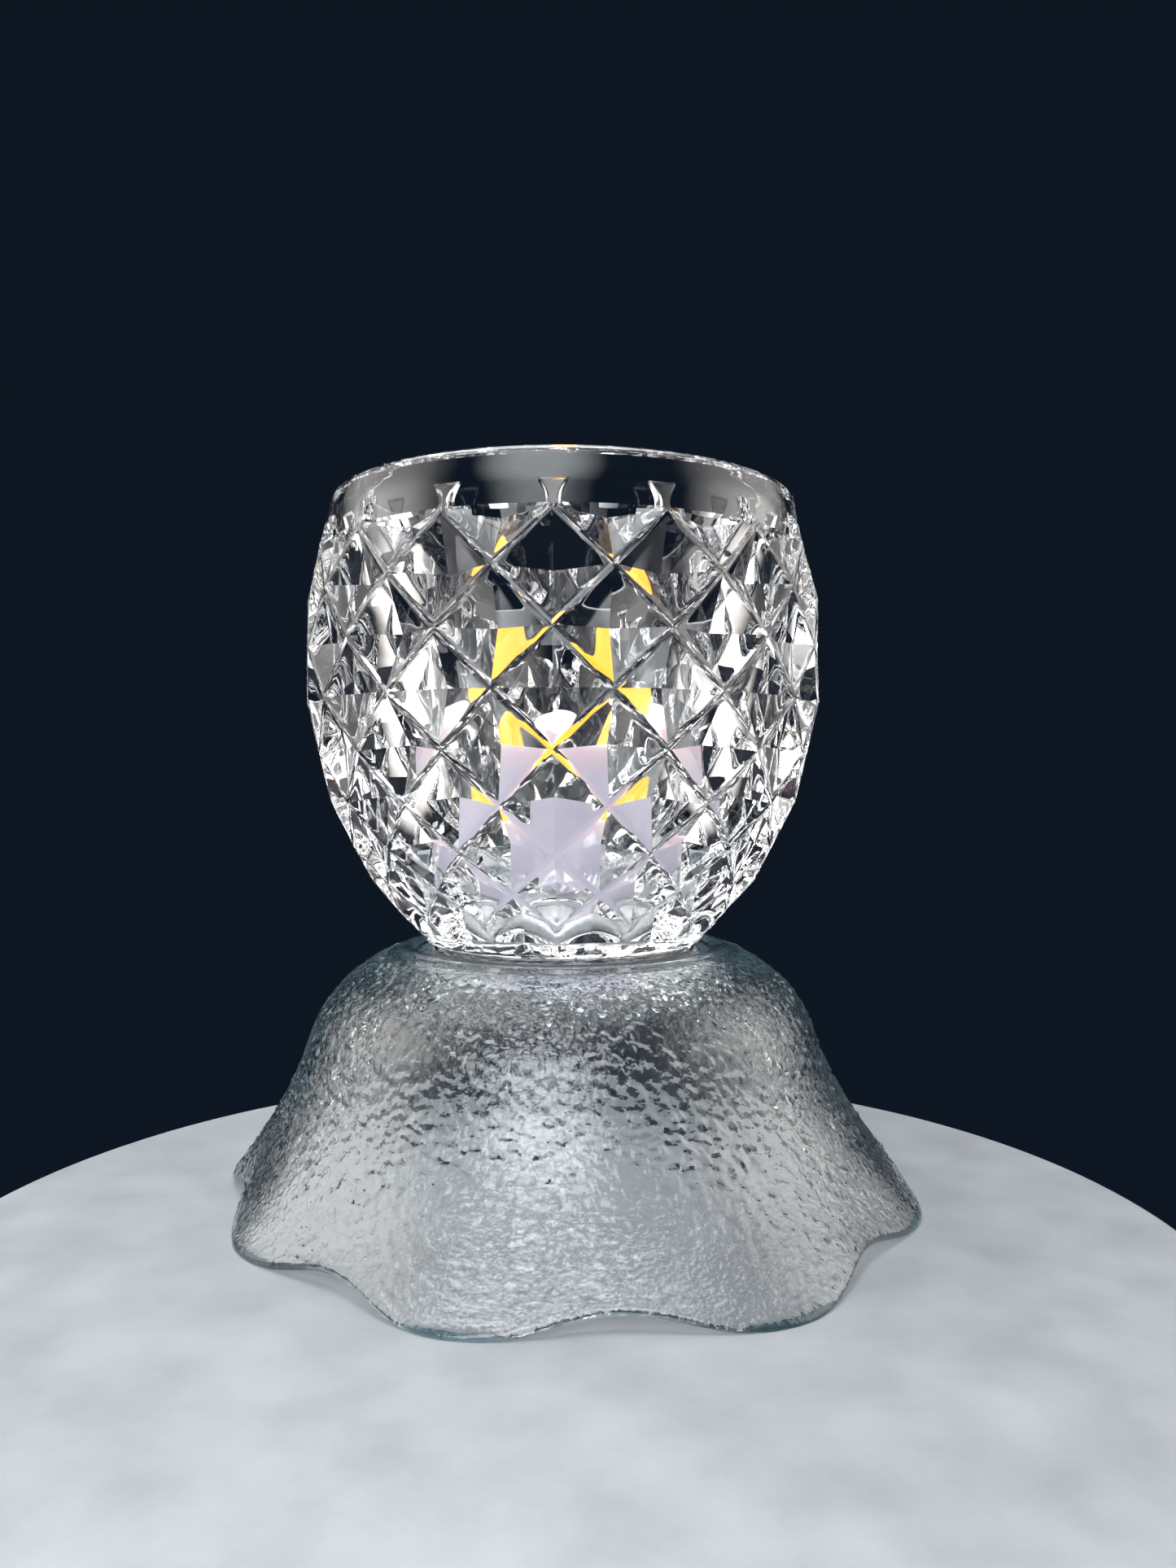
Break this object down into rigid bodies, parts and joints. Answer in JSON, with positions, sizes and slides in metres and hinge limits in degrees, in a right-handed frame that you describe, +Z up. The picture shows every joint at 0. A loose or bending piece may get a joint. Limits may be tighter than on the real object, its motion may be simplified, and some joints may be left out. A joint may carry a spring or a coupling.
{
  "type": "tealight holder",
  "caption": "Pressed-glass diamond-cut candle cup glued on an upturned ruffled glass dish, with a lift-out electric tealight that has a switch and a battery door.",
  "frame": {"origin": "on the surface that the dish stands on, at the axis of the cup", "axes": "+Z up along the cup's axis; -Y is the front"},
  "size_m": [0.1455, 0.1542, 0.145],
  "materials": {
    "cup_glass": "clear, polished, cut in diamonds",
    "dish_glass": "pale blue-green, pressed with fine wavy relief",
    "adhesive": "clear cured adhesive",
    "shell_plastic": "satin, faintly translucent",
    "flame_plastic": "frosted, lit from inside",
    "lamp_epoxy": "clear",
    "plate_plastic": "satin",
    "door_plastic": "satin",
    "cell_steel": "plain",
    "contact_metal": "stamped strip",
    "slider_plastic": "moulded"
  },
  "bodies": {
    "holder": {"ruffled_base": "dish_glass", "adhesive_joint": "adhesive", "candle_cup": "cup_glass"},
    "tealight": {"tealight_shell": "shell_plastic", "flame_lens": "flame_plastic", "led_lamp": "lamp_epoxy", "base_plate": "plate_plastic", "coin_cell": "cell_steel", "contact_negative": "contact_metal", "contact_positive": "contact_metal"},
    "switch": {"switch_slider": "slider_plastic"},
    "door": {"battery_door": "door_plastic"}
  },
  "joints": [
    {"name": "tealight_lift", "type": "slide", "parent": "holder", "child": "tealight", "axis": [0, 0, 1], "range_m": [0, 0.09]},
    {"name": "switch_slide", "type": "slide", "parent": "tealight", "child": "switch", "axis": [0, 1, 0], "range_m": [0, 0.0025]},
    {"name": "door_twist", "type": "hinge", "parent": "tealight", "child": "door", "pos_m": [0, 0, 0.0602], "axis": [0, 0, 1], "range_deg": [0, 30]}
  ]
}
